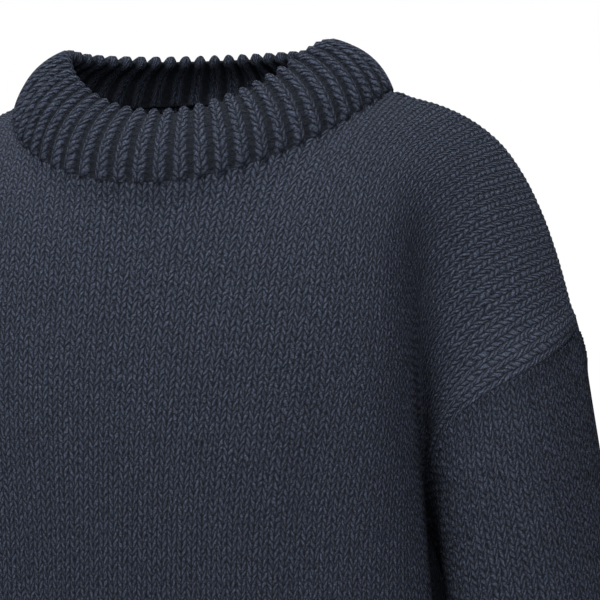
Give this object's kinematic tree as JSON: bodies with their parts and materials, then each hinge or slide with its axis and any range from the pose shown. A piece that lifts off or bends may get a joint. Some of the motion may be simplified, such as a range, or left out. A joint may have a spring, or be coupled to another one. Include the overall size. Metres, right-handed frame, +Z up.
{
  "type": "wool sweater",
  "caption": "Chunky wool sweater in its worn, hollow form, with a standing ribbed crew collar, dropped shoulders, long sleeves, and ribbed hem and cuffs.",
  "frame": {"origin": "midway between the two neck points, where the shoulder seams meet the collar, which is where the wearer's shoulders hold the garment", "axes": "+Z up along the body, the front of the garment faces -Y, +X towards the wearer's left sleeve"},
  "size_m": [0.531, 0.2292, 0.682],
  "materials": {
    "wool": "heathered navy chunky knit"
  },
  "bodies": {
    "root": {"front": "wool", "back": "wool", "sleeve_left": "wool", "sleeve_right": "wool", "collar": "wool", "hem_front": "wool", "hem_back": "wool", "cuff_left": "wool", "cuff_right": "wool"}
  },
  "joints": []
}
